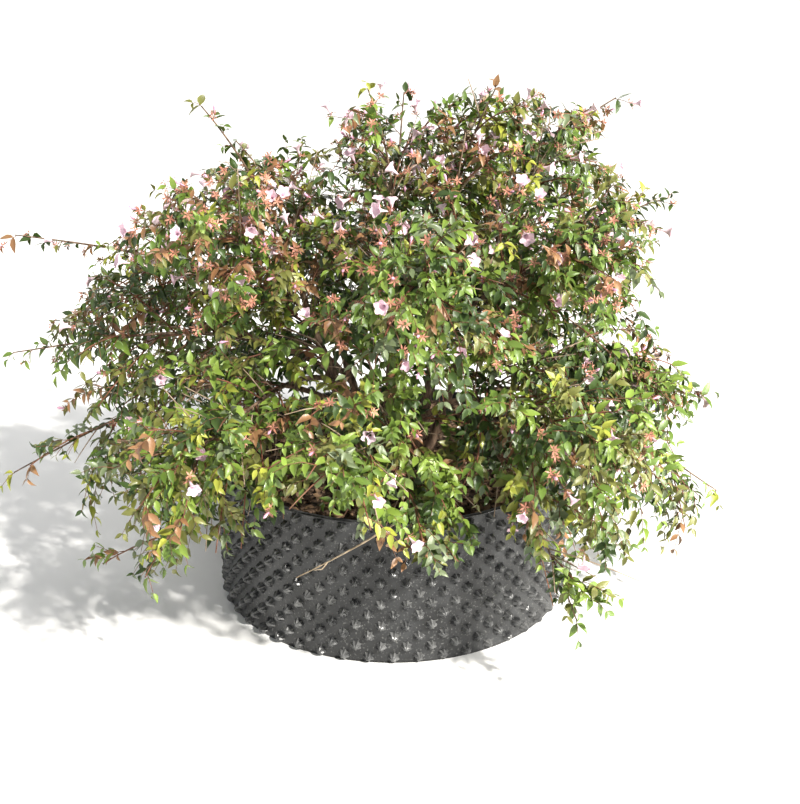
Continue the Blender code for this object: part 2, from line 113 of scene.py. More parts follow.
def tubes(paths, radii, sides, relief=None):
    # many tubes at once: each point of a path gets a ring, point + radius (cos t side + sin t other)
    paths, radii = np.asarray(paths, float), np.asarray(radii, float)
    count, steps = paths.shape[:2]
    headings = unit(np.gradient(paths, axis=1))
    side = unit(np.cross(headings[:, 0], offAxis(headings[:, 0])))
    sidesAlong = np.empty_like(paths)
    for step in range(steps):
        side = unit(side - headings[:, step] * (side * headings[:, step]).sum(-1, keepdims=True))
        sidesAlong[:, step] = side
    others = np.cross(headings, sidesAlong)
    turns = np.linspace(0, fullTurn, sides, endpoint=False)
    reach = np.broadcast_to(radii[..., None], (count, steps, sides))
    if relief is not None:
        tube, step = np.arange(count)[:, None, None], np.arange(steps)[None, :, None]
        reach = reach * (1 + relief(tube, step, turns))
    cosines, sines = np.cos(turns)[:, None], np.sin(turns)[:, None]
    ring = cosines * sidesAlong[:, :, None] + sines * others[:, :, None]
    points = paths[:, :, None] + reach[..., None] * ring
    shape = np.arange(count), np.arange(steps - 1), np.arange(sides)
    tube, step, corner = np.meshgrid(*shape, indexing="ij")
    low = (tube * steps + step) * sides
    after = (corner + 1) % sides
    quads = np.stack([low + corner, low + after, low + sides + after, low + sides + corner], -1)
    first = np.arange(count)[:, None] * steps * sides
    last = first + (steps - 1) * sides
    caps = np.stack([first + np.arange(sides)[::-1], last + np.arange(sides)], 1)
    return points.reshape(-1, 3), quads.reshape(-1, 4), caps.reshape(-1, sides)


def gridFaces(rows, columns, closedRows=False):
    # quads of a grid whose rows are rings; where closedRows, its last row joins up with its first
    bands = rows if closedRows else rows - 1
    row, column = np.meshgrid(np.arange(bands), np.arange(columns), indexing="ij")
    row, column = row.ravel(), column.ravel()
    nextRow, nextColumn = (row + 1) % rows, (column + 1) % columns
    return np.stack([row * columns + column, row * columns + nextColumn,
                     nextRow * columns + nextColumn, nextRow * columns + column], -1)


def spread(template, faces, roots, headings, normals, sizes):
    # copies of a template: x runs along the heading, y to the side, z along the normal
    side = unit(np.cross(normals, headings))
    normals = np.cross(headings, side)
    frames = np.stack([headings, side, normals], 1)
    points = roots[:, None] + np.einsum("pk,nkc->npc", template, frames) * sizes[:, None, None]
    shift = (np.arange(len(roots)) * len(template))[:, None, None]
    return points.reshape(-1, 3), [(shift + block).reshape(-1, block.shape[1]) for block in faces]


def addPiece(name, points, faces, finishes, replaced=(), faceFinish=None, smooth=True):
    # faces is a list of arrays with one face in each row
    corners = np.concatenate([block.ravel() for block in faces])
    sizes = np.concatenate([np.full(len(block), block.shape[1]) for block in faces])
    starts = np.concatenate([[0], np.cumsum(sizes)[:-1]])
    mesh = bpy.data.meshes.new(name)
    mesh.vertices.add(len(points))
    mesh.vertices.foreach_set("co", np.asarray(points, np.float32).ravel())
    mesh.loops.add(len(corners))
    mesh.loops.foreach_set("vertex_index", corners.astype(np.int32))
    mesh.polygons.add(len(sizes))
    mesh.polygons.foreach_set("loop_start", starts.astype(np.int32))
    for finish in finishes:
        mesh.materials.append(finish)
    if faceFinish is not None:
        mesh.polygons.foreach_set("material_index", np.asarray(faceFinish, np.int32))
    mesh.polygons.foreach_set("use_smooth", np.full(len(sizes), smooth))
    mesh.update(calc_edges=True)
    piece = bpy.data.objects.new(name, mesh)
    bpy.context.scene.collection.objects.link(piece)
    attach(piece, "root")
    if replaced:
        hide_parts(*replaced)


# Materials

finishLook = {"rampHalf": 0.22, "bumpStrength": 0.6, "bumpDetail": 5.0,
              "speckGrain": 260, "speckDetail": 2.0, "speckRange": (0.60, 0.72)}
mixSocket = {"first": 6, "second": 7, "result": 2}        # the colour sockets of a Mix node


def addNoise(tree, mapping, scale, detail):
    noise = tree.nodes.new("ShaderNodeTexNoise")
    noise.inputs["Scale"].default_value = scale
    noise.inputs["Detail"].default_value = detail
    tree.links.new(mapping.outputs["Vector"], noise.inputs["Vector"])
    return noise.outputs["Fac"]


def addSpecks(tree, mapping, colour, specks):
    # small spots of dust where a fine noise is highest
    spots = tree.nodes.new("ShaderNodeMapRange")
    lowest, highest = finishLook["speckRange"]
    spots.inputs["From Min"].default_value = lowest
    spots.inputs["From Max"].default_value = highest
    fine = addNoise(tree, mapping, finishLook["speckGrain"], finishLook["speckDetail"])
    tree.links.new(fine, spots.inputs["Value"])
    mix = tree.nodes.new("ShaderNodeMix")
    mix.data_type = "RGBA"
    tree.links.new(spots.outputs["Result"], mix.inputs["Factor"])
    tree.links.new(colour, mix.inputs[mixSocket["first"]])
    mix.inputs[mixSocket["second"]].default_value = (*specks, 1.0)
    return mix.outputs[mixSocket["result"]]


def makeFinish(name, colours, roughness, grain, bump=0.0, bumpGrain=300, contrast=1.0,
               stretch=(1.0, 1.0, 1.0), coat=0.0, detail=4.0, specks=None):
    # the base colour wanders between two by noise in object coordinates, and a finer noise bumps it
    finish = bpy.data.materials.new(name)
    finish.use_nodes = True
    tree = finish.node_tree
    shader = tree.nodes["Principled BSDF"]
    shader.inputs["Roughness"].default_value = roughness
    shader.inputs["Coat Weight"].default_value = coat
    place = tree.nodes.new("ShaderNodeTexCoord")
    mapping = tree.nodes.new("ShaderNodeMapping")
    mapping.inputs["Scale"].default_value = stretch
    tree.links.new(place.outputs["Object"], mapping.inputs["Vector"])
    ramp = tree.nodes.new("ShaderNodeValToRGB")
    half = finishLook["rampHalf"] / contrast
    for element, position, colour in zip(ramp.color_ramp.elements, (0.5 - half, 0.5 + half), colours):
        element.position = position
        element.color = (*colour, 1.0)
    tree.links.new(addNoise(tree, mapping, grain, detail), ramp.inputs["Fac"])
    colour = ramp.outputs["Color"]
    if specks:
        colour = addSpecks(tree, mapping, colour, specks)
    tree.links.new(colour, shader.inputs["Base Color"])
    if bump:
        bumps = tree.nodes.new("ShaderNodeBump")
        bumps.inputs["Strength"].default_value = finishLook["bumpStrength"]
        bumps.inputs["Distance"].default_value = bump
        fine = addNoise(tree, mapping, bumpGrain, finishLook["bumpDetail"])
        tree.links.new(fine, bumps.inputs["Height"])
        tree.links.new(bumps.outputs["Normal"], shader.inputs["Normal"])
    return finish


# The shoots, grown by the same rule and from the same sizes as the solids

pot = {"height": 0.280, "radius": 0.333, "wall": 0.008, "compostEdge": 0.258, "compostTop": 0.268,
       "flatRadius": 0.130}

wood = {"ring": 0.062, "lean": 0.42, "stemRadii": (0.0095, 0.0042), "flare": 1.75, "flareLength": 0.05,
        "stemShare": 0.54, "boughRadii": (0.0052, 0.0034), "boughShare": 0.42, "alongStem": 0.50,
        "outward": 0.55, "arch": 0.38, "gap": 0.0003}

# Each place has its compass and its shoots: part of the crown, fork as a share of the stem, compass,
# reach and height of the tip (degrees and metres), slope at the tip in degrees, blossoms, tint.
shrub = {
    "right": (350, (
        ("top", None, 0, 0.410, 0.965, 28, 1, "green"),
        ("upper", 0.66, 9, 0.540, 0.760, 10, 3, "bronze"),
        ("middle", 0.42, 340, 0.595, 0.460, -5, 2, "green"),
        ("low", 0.24, 351, 0.635, 0.225, -32, 0, "green"))),
    "front_right": (305, (
        ("top", None, 337, 0.200, 1.000, 62, 2, "bronze"),
        ("upper", 0.70, 318, 0.420, 0.750, 22, 1, "green"),
        ("middle", 0.45, 305, 0.560, 0.480, 0, 1, "olive"),
        ("low", 0.27, 302, 0.585, 0.165, -52, 1, "olive"))),
    "front": (262, (
        ("top", None, 240, 0.095, 1.000, 66, 2, "olive"),
        ("upper", 0.68, 277, 0.390, 0.735, 18, 1, "green"),
        ("middle", 0.44, 261, 0.530, 0.470, -4, 1, "gold"),
        ("low", 0.25, 275, 0.450, 0.270, -30, 0, "green"))),
    "front_left": (222, (
        ("upper", None, 221, 0.420, 0.810, 30, 3, "bronze"),
        ("middle", 0.52, 233, 0.580, 0.460, 0, 0, "gold"),
        ("low", 0.30, 223, 0.590, 0.205, -46, 1, "olive"))),
    "left": (182, (
        ("top", None, 180, 0.350, 0.955, 50, 1, "olive"),
        ("upper", 0.66, 177, 0.720, 0.700, 6, 1, "bronze"),
        ("middle", 0.44, 197, 0.710, 0.550, -2, 1, "green"),
        ("low", 0.25, 191, 0.730, 0.285, -26, 1, "olive"))),
    "back_left": (136, (
        ("upper", None, 133, 0.480, 0.820, 26, 1, "green"),
        ("middle", 0.52, 157, 0.680, 0.500, -6, 1, "olive"),
        ("low", 0.30, 128, 0.660, 0.240, -36, 0, "green"))),
    "back": (92, (
        ("top", None, 84, 0.220, 0.945, 58, 1, "green"),
        ("middle", 0.50, 100, 0.640, 0.540, 0, 1, "bronze"))),
    "back_right": (46, (
        ("upper", None, 48, 0.480, 0.820, 26, 1, "olive"),
        ("middle", 0.52, 66, 0.640, 0.480, -6, 1, "green"),
        ("low", 0.30, 34, 0.640, 0.250, -32, 0, "green"))),
}


def growShoots():
    # a stem leaves the compost leaning out; a bough leaves its stem between the stem's way and outward
    shoots = {}
    for place, (angle, rows) in shrub.items():
        for part, fork, tipAngle, reach, height, slope, blossoms, tint in rows:
            tip = compass(tipAngle) * reach + up * height
            if fork is None:
                start = compass(angle) * wood["ring"] + up * (pot["compostTop"] + wood["gap"])
                heading = unit(compass(angle) * wood["lean"] + up)
                share, radii = wood["stemShare"], wood["stemRadii"]
            else:
                stem = shoots[place + "_" + rows[0][0]]
                at = [fork * stem["share"]]
                start = bezier(stem["curve"], at)[0]
                stemWay = bezierSlope(stem["curve"], at)[0]
                outward = unit((tip - start) * level)
                heading = unit(wood["alongStem"] * stemWay + wood["outward"] * outward)
                share, radii = wood["boughShare"], wood["boughRadii"]
            across = tip - start
            slope = math.radians(slope)
            last = unit(across * level) * math.cos(slope) + up * math.sin(slope)
            pull = wood["arch"] * np.linalg.norm(across)
            shoots[place + "_" + part] = {
                "place": place, "isStem": fork is None, "share": share, "radii": radii, "tint": tint,
                "blossoms": blossoms, "curve": (start, start + heading * pull, tip - last * pull, tip)}
    return shoots


shoots = growShoots()
print("shoots grown:", len(shoots))

# Bark of the stems and boughs

barkLook = {"sides": 12, "steps": 56, "sunk": 0.004, "ridge": 0.10, "ridges": 5, "wander": 0.11,
            "wanderSwing": 2.0, "wanderShift": 1.7, "peel": 0.05, "peels": 9, "peelClimb": 0.9,
            "peelShift": 2.3, "knot": 0.12, "knotEvery": 11, "knotSharpness": 12}
barkFinish = makeFinish("flaking_bark", ((0.060, 0.034, 0.020), (0.235, 0.155, 0.100)), 0.82, grain=140,
                        bump=0.0012, bumpGrain=420, stretch=(1.0, 1.0, 0.25), contrast=1.6)


def barkRelief(tube, step, turn):
    # shallow ridges that wander round the limb as it rises, with a swelling at each pair of buds
    look = barkLook
    wander = np.sin(look["wander"] * step + look["wanderShift"] * tube) * look["wanderSwing"]
    ridges = look["ridge"] * np.sin(look["ridges"] * turn + wander + tube)
    climb = look["peelClimb"] * step + look["peelShift"] * tube
    peel = look["peel"] * np.sin(look["peels"] * turn + climb)
    swelling = np.maximum(0, np.cos(step * fullTurn / look["knotEvery"]))
    return ridges + peel + look["knot"] * swelling ** look["knotSharpness"]


along = np.linspace(0, 1, barkLook["steps"])
for place in shrub:
    paths, radii, nodes = [], [], []
    for name, shoot in shoots.items():
        if shoot["place"] != place:
            continue
        path = bezier(shoot["curve"], along * shoot["share"])
        thick = shoot["radii"][0] + (shoot["radii"][1] - shoot["radii"][0]) * along
        if shoot["isStem"]:
            nearFoot = np.clip(1 - (path[:, 2] - path[0, 2]) / wood["flareLength"], 0, 1)
            thick = thick * (1 + (wood["flare"] - 1) * nearFoot**2)
            path[0, 2] -= barkLook["sunk"]
        paths.append(path)
        radii.append(thick)
        nodes.append("stem_" + place if shoot["isStem"] else "bough_" + name)
    points, quads, caps = tubes(paths, radii, barkLook["sides"], barkRelief)
    addPiece("limbs_" + place, points, [quads, caps], [barkFinish], nodes)
print("bark made")

# Where leaves and twigs have room: in the crown's edge as the camera sees it, clear of the pot

view = {"place": (0.0, -2.6, 1.4), "down": 21.49, "turn": -0.29, "lens": 64.9, "sensor": 36.0,
        "picture": (800, 804)}

# The crown's edge in the photograph: pixel places read off it, from the left over the top and back.
crown = {"middle": 0.55, "edge": {
    "leftShootHigh": (20, 345), "leftHollowHigh": (75, 300), "leftSpray": (110, 225),
    "leftShoulder": (150, 190), "shoulderTop": (262, 142), "topLeftRise": (350, 92),
    "topLeftSpray": (378, 85), "topGap": (395, 140), "topMiddleSpray": (442, 78),
    "topMiddle": (500, 82), "topRightSpray": (610, 100), "rightNotchHigh": (612, 150),
    "rightShoulder": (668, 195), "rightHollow": (655, 250), "rightSpray": (692, 305),
    "rightNotch": (665, 335), "rightTip": (710, 385), "rightHollowLow": (675, 450),
    "rightShootLow": (720, 495), "rightFoot": (655, 572), "hangingSpray": (575, 630),
    "overRimRight": (530, 560), "overRimMiddle": (410, 558), "overRimLeft": (345, 518),
    "bareRim": (290, 500), "leftFootInner": (245, 548), "leftFoot": (145, 578),
    "leftFootOuter": (65, 542), "leftHollowLow": (80, 470), "leftShootLow": (25, 455),
    "leftHollow": (70, 390)}}

room = {"boxMargin": 0.004, "offWall": 0.021, "overRim": 0.006, "overFloor": 0.012}
boxLow, boxHigh = np.array(sizeBefore)


def crownEdge():
    # the camera's line through each place, met with the plane y = 0: compass there and reach
    down, turn = math.radians(view["down"]), math.radians(view["turn"])
    right = np.array([math.cos(turn), math.sin(turn), 0.0])
    ahead = np.array([-math.sin(turn) * math.cos(down), math.cos(turn) * math.cos(down), -math.sin(down)])
    above = np.cross(right, ahead)
    width, height = view["picture"]
    far = view["lens"] / view["sensor"] * max(width, height)
    places = np.array(list(crown["edge"].values()), float)
    lines = far * ahead + (places[:, :1] - width / 2) * right - (places[:, 1:] - height / 2) * above
    met = np.array(view["place"]) - lines * (view["place"][1] / lines[:, 1:2])
    x, z = met[:, 0], met[:, 2] - crown["middle"]
    return np.degrees(np.arctan2(z, x)) % 360, np.hypot(x, z)


edgeAngles, edgeReaches = crownEdge()


def inOutline(points):
    # each point is carried along the camera's line to the plane y = 0, and its reach compared
    away = -view["place"][1]
    scale = away / (away + points[..., 1])
    x = points[..., 0] * scale
    z = view["place"][2] + (points[..., 2] - view["place"][2]) * scale - crown["middle"]
    limit = np.interp(np.degrees(np.arctan2(z, x)) % 360, edgeAngles, edgeReaches, period=360)
    return np.hypot(x, z) < limit


def hasRoom(points):
    # outside the pot or over its rim, over the ground and inside the reach of the solids
    points = points.reshape(len(points), -1, 3)
    offWall = np.hypot(points[..., 0], points[..., 1]) > pot["radius"] + room["offWall"]
    overRim = points[..., 2] > pot["height"] + room["overRim"]
    clear = (offWall | overRim) & (points[..., 2] > room["overFloor"])
    aboveLow = (points > boxLow - room["boxMargin"]).all(-1)
    belowHigh = (points < boxHigh + room["boxMargin"]).all(-1)
    return (clear & aboveLow & belowHigh).all(1)


# Twigs

growthSeed = 4100
heart = np.array([0.0, 0.0, 0.40])        # the middle of the crown, which the leaves turn away from
leaderTwig = {"steps": 14, "endGap": 0.012}
sideTwig = {"count": 19, "inside": 0.55, "end": 0.985, "crowding": 0.9, "goldenAngle": 137.508,
            "angle": 54, "angleLoss": 0.45, "lift": 0.12, "length": 0.245, "taper": 0.46,
            "taperPower": 1.5, "lengths": (0.6, 1.1), "sag": (0.10, 0.45), "steps": 6, "edgeMargin": 0.02}
fineTwig = {"count": 9, "from": 0.16, "to": 0.97, "tipCount": 10, "tipFrom": 0.25, "tipTo": 0.99,
            "angle": 46, "angles": (0.5, 1.25), "lift": 0.10, "length": 0.078, "lengths": (0.45, 1.15),
            "sag": (0.05, 0.50), "steps": 4, "strayShare": 0.40}
bareTwig = {"count": 16, "from": 0.25, "to": 0.93, "lean": 0.9, "lift": 0.3, "length": 0.19,
            "lengths": (0.4, 1.0), "sag": (-0.10, 0.25), "steps": 5}


def growLeader(shoot):
    # the bare end of the shoot's curve, from where its bark stops to a little before its tip
    length = np.linalg.norm(shoot["curve"][3] - shoot["curve"][0])
    end = 1 - leaderTwig["endGap"] / length
    return bezier(shoot["curve"], np.linspace(shoot["share"], end, leaderTwig["steps"]))


def growSide(shoot, rng):
    # side twigs stand round the shoot by the golden angle, shorter and closer to it towards its tip
    look = sideTwig
    phase = rng.uniform(0, fullTurn)
    shares = np.linspace(0, 1, look["count"]) ** look["crowding"]
    first = shoot["share"] * look["inside"]
    starts = first + (look["end"] - first) * shares
    along = bezierSlope(shoot["curve"], starts)
    away = turnAbout(along, phase + math.radians(look["goldenAngle"]) * np.arange(look["count"]))
    angle = (math.radians(look["angle"]) * (1 - look["angleLoss"] * shares))[:, None]
    heading = unit(along * np.cos(angle) + away * np.sin(angle) + up * look["lift"])
    reach = look["length"] * (1 - look["taper"] * shares ** look["taperPower"])
    reach = reach * rng.uniform(*look["lengths"], look["count"])
    sag = rng.uniform(*look["sag"], look["count"])
    side = arc(bezier(shoot["curve"], starts), heading, reach, sag, look["steps"])
    # the first two points stay by the shoot, so only the others are tested for room
    ends = inOutline(side[:, -2]) & inOutline(side[:, -1] + up * look["edgeMargin"])
    return side[hasRoom(side[:, 2:]) & ends]


def growFine(leader, side, rng):
    # fine twigs on every side twig, and on the leader
    look = fineTwig
    roots, along = alongPath(side, np.linspace(look["from"], look["to"], look["count"]))
    tipShares = np.linspace(look["tipFrom"], look["tipTo"], look["tipCount"])
    tipRoots, tipAlong = alongPath(leader, tipShares)
    roots = np.concatenate([roots.reshape(-1, 3), tipRoots])
    along = np.concatenate([along.reshape(-1, 3), tipAlong])
    number = len(roots)
    away = turnAbout(along, rng.uniform(0, fullTurn, number))
    angle = (math.radians(look["angle"]) * rng.uniform(*look["angles"], number))[:, None]
    heading = unit(along * np.cos(angle) + away * np.sin(angle) + up * look["lift"])
    reach = look["length"] * rng.uniform(*look["lengths"], number)
    sag = rng.uniform(*look["sag"], number)
    # past the crown's edge only the leader goes on, with short fine twigs
    within = inOutline(roots + heading * reach[:, None])
    onLeader = np.arange(number) >= number - len(tipRoots)
    reach = np.where(within, reach, reach * look["strayShare"])
    fine = arc(roots, heading, reach, sag, look["steps"])
    keep = hasRoom(fine) & (within | onLeader)
    return fine[keep], reach[keep]


def growBare(shoot, rng):
    # bare old twigs that stand out between the leafy ones
    look = bareTwig
    starts = rng.uniform(look["from"], look["to"], look["count"])
    along = bezierSlope(shoot["curve"], starts)
    away = turnAbout(along, rng.uniform(0, fullTurn, look["count"]))
    heading = unit(along + away * look["lean"] + up * look["lift"])
    reach = look["length"] * rng.uniform(*look["lengths"], look["count"])
    sag = rng.uniform(*look["sag"], look["count"])
    bare = arc(bezier(shoot["curve"], starts), heading, reach, sag, look["steps"])
    return bare[hasRoom(bare) & inOutline(bare[:, -1])]


# Leaves in opposite pairs

leafGrowth = {"length": 0.0300, "lengths": (0.72, 1.12), "youngLoss": 0.42, "pairStep": 0.0140,
              "fewestPairs": 2, "from": 0.22, "to": 0.96, "ahead": 0.75, "scatter": 0.18, "droop": 0.42,
              "outward": 0.7, "lift": 0.9, "tilt": 0.42, "paintedShadeRadius": 0.30, "paintedShadeShare": 0.6}

# Half width at each stretch of a leaf's length, folded up along the midrib and curled down.
leafOutline = {"width": 0.47, "stations": (0.20, 0.47, 0.76), "widths": (0.80, 0.98, 0.52), "fold": 0.40,
               "curl": 0.18, "tipCurl": 1.25, "variants": (0.5, 1.0, 1.7)}
leafTris = np.array([(0, 1, 2), (0, 2, 3), (7, 10, 8), (8, 10, 9)])
leafQuads = np.array([(1, 4, 5, 2), (2, 5, 6, 3), (4, 7, 8, 5), (5, 8, 9, 6)])


def leafTemplate(amount):
    # base point, then left edge, midrib and right edge at each station, then the tip
    half = leafOutline["width"] / 2
    fold, curl = leafOutline["fold"] * amount, leafOutline["curl"] * amount
    rows = [[0.0, 0.0, 0.0]]
    for station, width in zip(leafOutline["stations"], leafOutline["widths"]):
        sink = -curl * station**2
        side = half * width
        rows += [[station, -side, sink + fold * side], [station, 0.0, sink],
                 [station, side, sink + fold * side]]
    rows.append([1.0, 0.0, -curl * leafOutline["tipCurl"]])
    return np.array(rows)


def leavesOn(twigs, reaches, rng):
    # a pair every few millimetres, turned a quarter from the last, younger and smaller to the tip
    look = leafGrowth
    roots, headings, normals, sizes, owners = [], [], [], [], []
    for owner, (twig, reach) in enumerate(zip(twigs, reaches)):
        pairs = max(look["fewestPairs"], int(reach / look["pairStep"]))
        shares = np.linspace(look["from"], look["to"], pairs)
        at, along = alongPath(twig, shares)
        away = turnAbout(along, rng.uniform(0, fullTurn) + np.arange(pairs) * fullTurn / 4)
        for way in (1, -1):
            lean = along * look["ahead"] + away * way + rng.normal(0, look["scatter"], (pairs, 3))
            headings.append(unit(lean - up * look["droop"]))
        facing = unit(at - heart) * look["outward"] + up * look["lift"]
        normals += [unit(facing + rng.normal(0, look["tilt"], (pairs, 3))) for _ in range(2)]
        grownLength = look["length"] * (1 - look["youngLoss"] * shares**2)
        sizes += [grownLength * rng.uniform(*look["lengths"], pairs) for _ in range(2)]
        roots += [at, at]
        owners += [np.full(pairs, owner)] * 2
    return [np.concatenate(part) for part in (roots, headings, normals, sizes, owners)]


# Tones of leaf, each a plain base colour with a faint drift of its own, dealt out by fine twig.
leafTones = {
    # the deep green tone is dealt out at random, and is also painted shade on many leaves inside the crown
    "deepAndPaintedShade": ((0.032, 0.062, 0.012), (0.050, 0.090, 0.018)),
    "mid": ((0.088, 0.150, 0.022), (0.130, 0.205, 0.034)),
    "fresh": ((0.150, 0.235, 0.032), (0.210, 0.300, 0.046)),
    "olive": ((0.135, 0.145, 0.032), (0.185, 0.190, 0.046)),
    "gold": ((0.260, 0.300, 0.038), (0.370, 0.385, 0.055)),
    "bronze": ((0.240, 0.115, 0.052), (0.310, 0.175, 0.078)),
    "greyGreen": ((0.120, 0.160, 0.075), (0.165, 0.205, 0.100)),
}
toneNames = list(leafTones)
toneShares = {        # how much of each tone, in the order above, a mass of this tint has
    "green": (0.20, 0.35, 0.18, 0.12, 0.04, 0.05, 0.06),
    "olive": (0.16, 0.22, 0.12, 0.30, 0.07, 0.08, 0.05),
    "gold": (0.12, 0.24, 0.27, 0.15, 0.14, 0.05, 0.03),
    "bronze": (0.15, 0.24, 0.13, 0.19, 0.06, 0.20, 0.03),
}
leafFinishes = [makeFinish("leaf_" + tone, colours, 0.40, grain=35, bump=0.0006, coat=0.12)
                for tone, colours in leafTones.items()]
twigFinish = makeFinish("reddish_twig", ((0.200, 0.060, 0.030), (0.150, 0.085, 0.045)), 0.62, grain=30)

grown = {}
for index, (name, shoot) in enumerate(shoots.items()):
    rng = np.random.default_rng(growthSeed + 1 + index)
    leader = growLeader(shoot)
    side = growSide(shoot, rng)
    fine, fineReach = growFine(leader, side, rng)
    bare = growBare(shoot, rng)
    grown[name] = {"leader": leader[None], "side": side, "fine": fine, "bare": bare, "rng": rng,
                   "leaves": leavesOn(fine, fineReach, rng)}
print("fine twigs:", sum(len(mass["fine"]) for mass in grown.values()))

leafTemplates = [leafTemplate(amount) for amount in leafOutline["variants"]]
tints = {tint: {"points": [], "tones": [], "nodes": []} for tint in toneShares}
for name, mass in grown.items():
    tint, rng = shoots[name]["tint"], mass["rng"]
    roots, headings, normals, sizes, owners = mass["leaves"]
    tones = rng.choice(len(toneNames), len(mass["fine"]), p=toneShares[tint])[owners]
    # many leaves inside the crown are given the deep green tone, as painted shade
    inside = np.linalg.norm(roots - heart, axis=1) < leafGrowth["paintedShadeRadius"]
    deepAndPaintedShade = inside & (rng.uniform(size=len(tones)) < leafGrowth["paintedShadeShare"])
    tones = np.where(deepAndPaintedShade, toneNames.index("deepAndPaintedShade"), tones)
    keep = hasRoom(np.stack([roots, roots + headings * sizes[:, None]], 1))
    variant = rng.integers(0, len(leafTemplates), len(roots))
    tints[tint]["nodes"].append("foliage_" + name)
    for shape, template in enumerate(leafTemplates):
        chosen = keep & (variant == shape)
        points, _ = spread(template, [], roots[chosen], headings[chosen], normals[chosen], sizes[chosen])
        tints[tint]["points"].append(points)
        tints[tint]["tones"].append(tones[chosen])

for tint, store in tints.items():
    points, tones = np.concatenate(store["points"]), np.concatenate(store["tones"])
    shift = (np.arange(len(tones)) * len(leafTemplates[0]))[:, None, None]
    faces = [(shift + block).reshape(-1, block.shape[1]) for block in (leafTris, leafQuads)]
    faceTones = np.concatenate([np.repeat(tones, len(block)) for block in (leafTris, leafQuads)])
    addPiece("leaves_" + tint, points, faces, leafFinishes, store["nodes"], faceTones)
print("leaves:", sum(len(tones) for store in tints.values() for tones in store["tones"]))

oldTwigFinish = makeFinish("pale_old_twig", ((0.240, 0.165, 0.110), (0.420, 0.320, 0.230)), 0.80, grain=40)
twigLook = {"leader": {"radii": (0.0033, 0.0012), "sides": 8, "finish": barkFinish},
            "side": {"radii": (0.0019, 0.0010), "sides": 5, "finish": twigFinish},
            "fine": {"radii": (0.0009, 0.0005), "sides": 3, "finish": twigFinish},
            "bare": {"radii": (0.0015, 0.0007), "sides": 5, "finish": oldTwigFinish}}
for kind, look in twigLook.items():
    paths = np.concatenate([mass[kind] for mass in grown.values()])
    radii = np.broadcast_to(np.linspace(*look["radii"], paths.shape[1]), paths.shape[:2])
    points, quads, caps = tubes(paths, radii, look["sides"])
    addPiece("twigs_" + kind, points, [quads, caps], [look["finish"]])
print("twigs made")

# Blossoms, buds and coppery calyces at the ends of fine twigs

funnel = {"length": 0.025, "mouth": 0.0125, "notch": 0.0085, "around": 20, "lobes": 5,
          "tube": ((0.0, 0.0011), (0.35, 0.0017), (0.62, 0.0032), (0.82, 0.0062)),
          "throat": 0.95, "throatRim": 0.001, "lobeRoundness": 0.7}
bud = {"length": 0.016, "radii": (0.0008, 0.0012, 0.0020, 0.0026, 0.0010), "sides": 6}
sepal = {"count": 5, "lean": 0.35, "length": 0.0100, "middle": 0.0045, "halfWidth": 0.0016}
calyx = {"stars": 3, "apart": 0.006, "scatter": 0.8, "turnOut": 0.5, "room": 0.012}

# A tip flowers where its draw, divided by a weight, is below a share; the weight grows with the
# blossoms of its mass and with its height, and is higher at the top left.
flowering = {"openShare": 0.100, "budShare": 0.09, "calyxShare": 0.34, "leastWeight": 0.35,
             "massWeight": 0.325, "rise": 2.2, "riseFrom": 0.5, "riseLimits": (0.25, 1.3),
             "leftOf": 0.08, "above": 0.58, "topLeftGain": 1.6, "smallestWeight": 0.01,
             "crownSize": (0.72, 0.62, 0.60), "outer": 0.62, "alongTwig": 0.6, "outward": 0.5,
             "scatter": 0.35, "roll": 0.2, "nudge": 0.001, "openRoom": 0.03, "budRoom": 0.02,
             "sizes": (0.85, 1.15)}

petalFinish = makeFinish("blossom_petal", ((0.82, 0.56, 0.66), (0.90, 0.74, 0.80)), 0.55, grain=80)
budFinish = makeFinish("blossom_bud", ((0.62, 0.30, 0.44), (0.72, 0.42, 0.56)), 0.50, grain=80)
calyxFinish = makeFinish("coppery_calyx", ((0.440, 0.165, 0.105), (0.560, 0.270, 0.190)), 0.55, grain=60)


def funnelTemplate():
    # a ring at each stretch of the tube, whose rim runs out and in as rounded lobes
    around = funnel["around"]
    turns = np.linspace(0, fullTurn, around, endpoint=False)
    lobe = 0.5 + 0.5 * np.cos(funnel["lobes"] * turns)
    depth, edge = funnel["mouth"] - funnel["notch"], funnel["throatRim"]
    rows = [(station, np.full(around, reach)) for station, reach in funnel["tube"]]
    rows.append((funnel["throat"], funnel["notch"] + edge + (depth - 2 * edge) * lobe))
    rows.append((1.0, funnel["notch"] + depth * lobe ** funnel["lobeRoundness"]))
    points = [np.stack([np.full(around, station * funnel["length"]), reach * np.cos(turns),
                        reach * np.sin(turns)], 1) for station, reach in rows]
    return np.concatenate(points), gridFaces(len(rows), around)


def starTemplate():
    # slim sepals that lean out from the end of a twig, each of a root, a left, a tip and a right point
    turns = fullTurn * np.arange(sepal["count"]) / sepal["count"]
    out = np.stack([np.full(len(turns), sepal["lean"]), np.cos(turns), np.sin(turns)], 1)
    across = np.stack([np.zeros(len(turns)), -np.sin(turns), np.cos(turns)], 1) * sepal["halfWidth"]
    middle = out * sepal["middle"]
    points = np.stack([np.zeros_like(out), middle + across, out * sepal["length"], middle - across], 1)
    return points.reshape(-1, 3), np.arange(4 * len(turns)).reshape(-1, 4)


def tipRoom(starts, headings, reach):
    return hasRoom(np.stack([starts, starts + headings * reach], 1))


